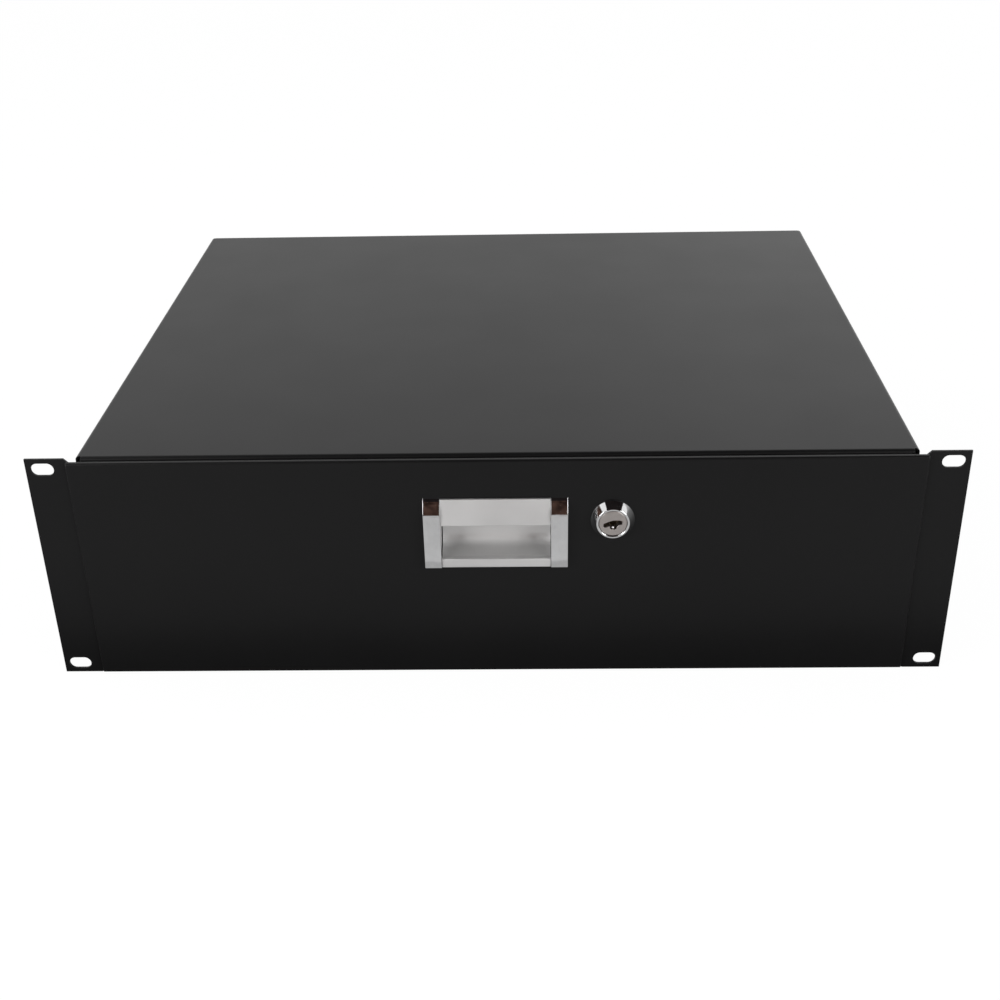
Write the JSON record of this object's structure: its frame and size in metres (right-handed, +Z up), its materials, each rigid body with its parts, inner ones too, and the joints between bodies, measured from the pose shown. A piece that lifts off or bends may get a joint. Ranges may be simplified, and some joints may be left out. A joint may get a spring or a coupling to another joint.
{
  "type": "sliding rack drawer",
  "caption": "Lockable sliding rack drawer in a sheet-metal case with rack ears, recessed pull handle, cam lock and ball-bearing slides.",
  "frame": {"origin": "centre of the four-slot mounting pattern, on the back face of the rack ears", "axes": "+X right across the rack seen from the front, +Y into the rack, +Z up"},
  "size_m": [0.4826, 0.3688, 0.1326],
  "materials": {
    "powder_black": "satin black powder coat",
    "black_fastener": "black oxide",
    "zinc_steel": "bright zinc plate",
    "bearing_steel": "polished",
    "bumper_rubber": "matt rubber",
    "lever_plastic": "moulded plastic",
    "anodised_aluminium": "matt anodised",
    "chrome_plate": "chrome plate",
    "plug_nickel": "dull nickel",
    "wafer_brass": "bright"
  },
  "bodies": {
    "case": {"side_panel_left": "powder_black", "side_panel_right": "powder_black", "top_cover": "powder_black", "bottom_panel": "powder_black", "back_panel": "powder_black", "cover_screws": "black_fastener", "case_rivets": "black_fastener", "strike_bracket": "powder_black", "outer_rail_left": "zinc_steel", "outer_rail_right": "zinc_steel", "outer_rail_screws_left": "zinc_steel", "outer_rail_screws_right": "zinc_steel", "rail_bumper_left": "bumper_rubber", "rail_bumper_right": "bumper_rubber"},
    "drawer": {"tray_side_left": "powder_black", "tray_side_right": "powder_black", "tray_floor": "powder_black", "tray_back": "powder_black", "tray_sill": "powder_black", "tray_front": "powder_black", "front_face": "powder_black", "front_rivets": "black_fastener", "face_studs": "zinc_steel", "face_nuts": "zinc_steel", "inner_rail_left": "zinc_steel", "inner_rail_right": "zinc_steel", "inner_rail_screws_left": "zinc_steel", "inner_rail_screws_right": "zinc_steel", "lever_pivot_left": "zinc_steel", "lever_pivot_right": "zinc_steel", "handle_profile": "anodised_aluminium", "handle_cap_left": "chrome_plate", "handle_cap_right": "chrome_plate", "handle_clamps": "zinc_steel", "handle_screws": "zinc_steel", "lock_housing": "chrome_plate", "lock_washer": "zinc_steel", "lock_nut": "zinc_steel"},
    "lock_cylinder": {"lock_plug": "plug_nickel", "lock_wafers": "wafer_brass", "lock_cam": "zinc_steel", "cam_screw": "zinc_steel"},
    "middle_member_left": {"middle_rail_left": "zinc_steel"},
    "outer_retainer_left": {"outer_cage_left": "zinc_steel", "outer_balls_left": "bearing_steel"},
    "inner_retainer_left": {"inner_cage_left": "zinc_steel", "inner_balls_left": "bearing_steel"},
    "lever_left": {"release_lever_left": "lever_plastic"},
    "middle_member_right": {"middle_rail_right": "zinc_steel"},
    "outer_retainer_right": {"outer_cage_right": "zinc_steel", "outer_balls_right": "bearing_steel"},
    "inner_retainer_right": {"inner_cage_right": "zinc_steel", "inner_balls_right": "bearing_steel"},
    "lever_right": {"release_lever_right": "lever_plastic"}
  },
  "joints": [
    {"name": "drawer_slide", "type": "slide", "parent": "case", "child": "drawer", "axis": [0, -1, 0], "range_m": [0, 0.35]},
    {"name": "lock_turn", "type": "hinge", "parent": "drawer", "child": "lock_cylinder", "pos_m": [0.0606, 0, 0.0298], "axis": [0, -1, 0], "range_deg": [0, 90]},
    {"name": "outer_retainer_left_slide", "type": "slide", "parent": "case", "child": "outer_retainer_left", "axis": [0, -1, 0], "range_m": [0, 0.0875]},
    {"name": "middle_member_left_slide", "type": "slide", "parent": "case", "child": "middle_member_left", "axis": [0, -1, 0], "range_m": [0, 0.175]},
    {"name": "inner_retainer_left_slide", "type": "slide", "parent": "case", "child": "inner_retainer_left", "axis": [0, -1, 0], "range_m": [0, 0.2625]},
    {"name": "lever_left_turn", "type": "hinge", "parent": "drawer", "child": "lever_left", "pos_m": [-0.2035, 0.21, -0.01], "axis": [1, 0, 0], "range_deg": [0, 8], "stiffness_Nm_per_rad": 0.05, "springref_deg": -5.73},
    {"name": "outer_retainer_right_slide", "type": "slide", "parent": "case", "child": "outer_retainer_right", "axis": [0, -1, 0], "range_m": [0, 0.0875]},
    {"name": "middle_member_right_slide", "type": "slide", "parent": "case", "child": "middle_member_right", "axis": [0, -1, 0], "range_m": [0, 0.175]},
    {"name": "inner_retainer_right_slide", "type": "slide", "parent": "case", "child": "inner_retainer_right", "axis": [0, -1, 0], "range_m": [0, 0.2625]},
    {"name": "lever_right_turn", "type": "hinge", "parent": "drawer", "child": "lever_right", "pos_m": [0.2035, 0.21, -0.01], "axis": [1, 0, 0], "range_deg": [0, 8], "stiffness_Nm_per_rad": 0.05, "springref_deg": -5.73}
  ],
  "couplings": [
    {"joint": "outer_retainer_left_slide", "follows": "drawer_slide", "ratio": 0.25},
    {"joint": "middle_member_left_slide", "follows": "drawer_slide", "ratio": 0.5},
    {"joint": "inner_retainer_left_slide", "follows": "drawer_slide", "ratio": 0.75},
    {"joint": "outer_retainer_right_slide", "follows": "drawer_slide", "ratio": 0.25},
    {"joint": "middle_member_right_slide", "follows": "drawer_slide", "ratio": 0.5},
    {"joint": "inner_retainer_right_slide", "follows": "drawer_slide", "ratio": 0.75}
  ]
}
